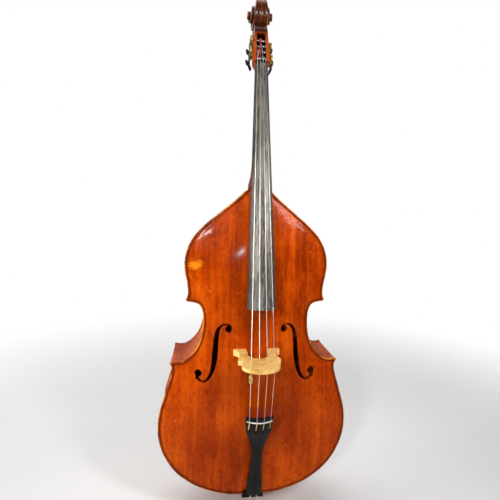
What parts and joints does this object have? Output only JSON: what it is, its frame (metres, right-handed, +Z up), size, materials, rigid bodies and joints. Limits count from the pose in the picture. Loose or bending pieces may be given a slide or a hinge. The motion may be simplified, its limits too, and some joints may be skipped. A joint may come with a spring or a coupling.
{
  "type": "double bass",
  "caption": "Upright bowed string instrument: arched hollow body, slender neck, scroll with geared tuning machines, bridge, tailpiece and sliding endpin.",
  "frame": {"origin": "centre of the flat underside of the endpin's rubber foot, with the endpin pushed in", "axes": "+Z up along the instrument's middle line, -Y out of the belly towards the strings, +X to the right when it is seen from the front"},
  "size_m": [0.6848, 0.4134, 1.9252],
  "materials": {
    "varnished_spruce": "glossy orange-brown varnish over spruce",
    "varnished_maple": "glossy brown varnish over flamed maple",
    "bare_wood": "unvarnished spruce",
    "ebony": "polished black wood",
    "bridge_maple": "oiled flecked maple",
    "brass": "satin, darkened in the corners",
    "steel": "turned and polished",
    "string_winding": "flat-wound, with silk ends",
    "ivory_plastic": "polished off-white",
    "rubber": "matte"
  },
  "bodies": {
    "instrument": {"back_plate": "varnished_maple", "bass_bar": "bare_wood", "bridge": "bridge_maple", "corner_block_lower_left": "bare_wood", "corner_block_lower_right": "bare_wood", "corner_block_upper_left": "bare_wood", "corner_block_upper_right": "bare_wood", "end_block": "bare_wood", "endpin_collar": "ebony", "fingerboard": "ebony", "lining_back_lower_left": "bare_wood", "lining_back_lower_right": "bare_wood", "lining_back_upper_left": "bare_wood", "lining_back_upper_right": "bare_wood", "lining_back_waist_left": "bare_wood", "lining_back_waist_right": "bare_wood", "lining_top_lower_left": "bare_wood", "lining_top_lower_right": "bare_wood", "lining_top_upper_left": "bare_wood", "lining_top_upper_right": "bare_wood", "lining_top_waist_left": "bare_wood", "lining_top_waist_right": "bare_wood", "machine_plate_left": "brass", "machine_plate_right": "brass", "neck": "varnished_maple", "neck_block": "bare_wood", "nut": "ebony", "rib_lower_left": "varnished_maple", "rib_lower_right": "varnished_maple", "rib_upper_left": "varnished_maple", "rib_upper_right": "varnished_maple", "rib_waist_left": "varnished_maple", "rib_waist_right": "varnished_maple", "saddle": "ebony", "sound_post": "bare_wood", "string_a": "string_winding", "string_d": "string_winding", "string_e": "string_winding", "string_g": "string_winding", "tail_cord": "steel", "tailpiece": "ebony", "tailpiece_fret": "ivory_plastic", "top_plate": "varnished_spruce", "wolf_eliminator": "brass"},
    "endpin": {"endpin_rod": "steel", "endpin_foot": "rubber"},
    "endpin_screw": {"endpin_screw": "steel"},
    "key_e": {"worm_key_e": "brass"},
    "peg_e": {"roller_e": "steel", "gear_e": "brass"},
    "key_a": {"worm_key_a": "brass"},
    "peg_a": {"roller_a": "steel", "gear_a": "brass"},
    "key_d": {"worm_key_d": "brass"},
    "peg_d": {"roller_d": "steel", "gear_d": "brass"},
    "key_g": {"worm_key_g": "brass"},
    "peg_g": {"roller_g": "steel", "gear_g": "brass"}
  },
  "joints": [
    {"name": "endpin_slide", "type": "slide", "parent": "endpin", "child": "instrument", "axis": [0, 0, 1], "range_m": [0, 0.33]},
    {"name": "endpin_screw_turn", "type": "hinge", "parent": "instrument", "child": "endpin_screw", "pos_m": [0, 0, 0.047], "axis": [0, -1, 0], "range_deg": [-20, 360]},
    {"name": "key_e_turn", "type": "hinge", "parent": "instrument", "child": "key_e", "pos_m": [-0.03963, -0.05224, 1.68284], "axis": [0, -0.9806, 0.1961], "continuous": true},
    {"name": "key_a_turn", "type": "hinge", "parent": "instrument", "child": "key_a", "pos_m": [-0.03733, -0.04321, 1.72795], "axis": [0, -0.9806, 0.1961], "continuous": true},
    {"name": "key_d_turn", "type": "hinge", "parent": "instrument", "child": "key_d", "pos_m": [0.03853, -0.04792, 1.70441], "axis": [0, 0.9806, -0.1961], "continuous": true},
    {"name": "key_g_turn", "type": "hinge", "parent": "instrument", "child": "key_g", "pos_m": [0.04108, -0.05792, 1.6544], "axis": [0, 0.9806, -0.1961], "continuous": true},
    {"name": "peg_e_turn", "type": "hinge", "parent": "instrument", "child": "peg_e", "pos_m": [-0.0294, -0.04823, 1.70287], "axis": [-0.9988, 0.0098, 0.049], "continuous": true},
    {"name": "peg_a_turn", "type": "hinge", "parent": "instrument", "child": "peg_a", "pos_m": [-0.0271, -0.03921, 1.74798], "axis": [-0.9988, 0.0098, 0.049], "continuous": true},
    {"name": "peg_d_turn", "type": "hinge", "parent": "instrument", "child": "peg_d", "pos_m": [0.0283, -0.04392, 1.72445], "axis": [0.9988, 0.0098, 0.049], "continuous": true},
    {"name": "peg_g_turn", "type": "hinge", "parent": "instrument", "child": "peg_g", "pos_m": [0.03085, -0.05392, 1.67444], "axis": [0.9988, 0.0098, 0.049], "continuous": true}
  ],
  "couplings": [
    {"joint": "peg_e_turn", "follows": "key_e_turn", "ratio": -0.05},
    {"joint": "peg_a_turn", "follows": "key_a_turn", "ratio": -0.05},
    {"joint": "peg_d_turn", "follows": "key_d_turn", "ratio": -0.05},
    {"joint": "peg_g_turn", "follows": "key_g_turn", "ratio": -0.05}
  ]
}
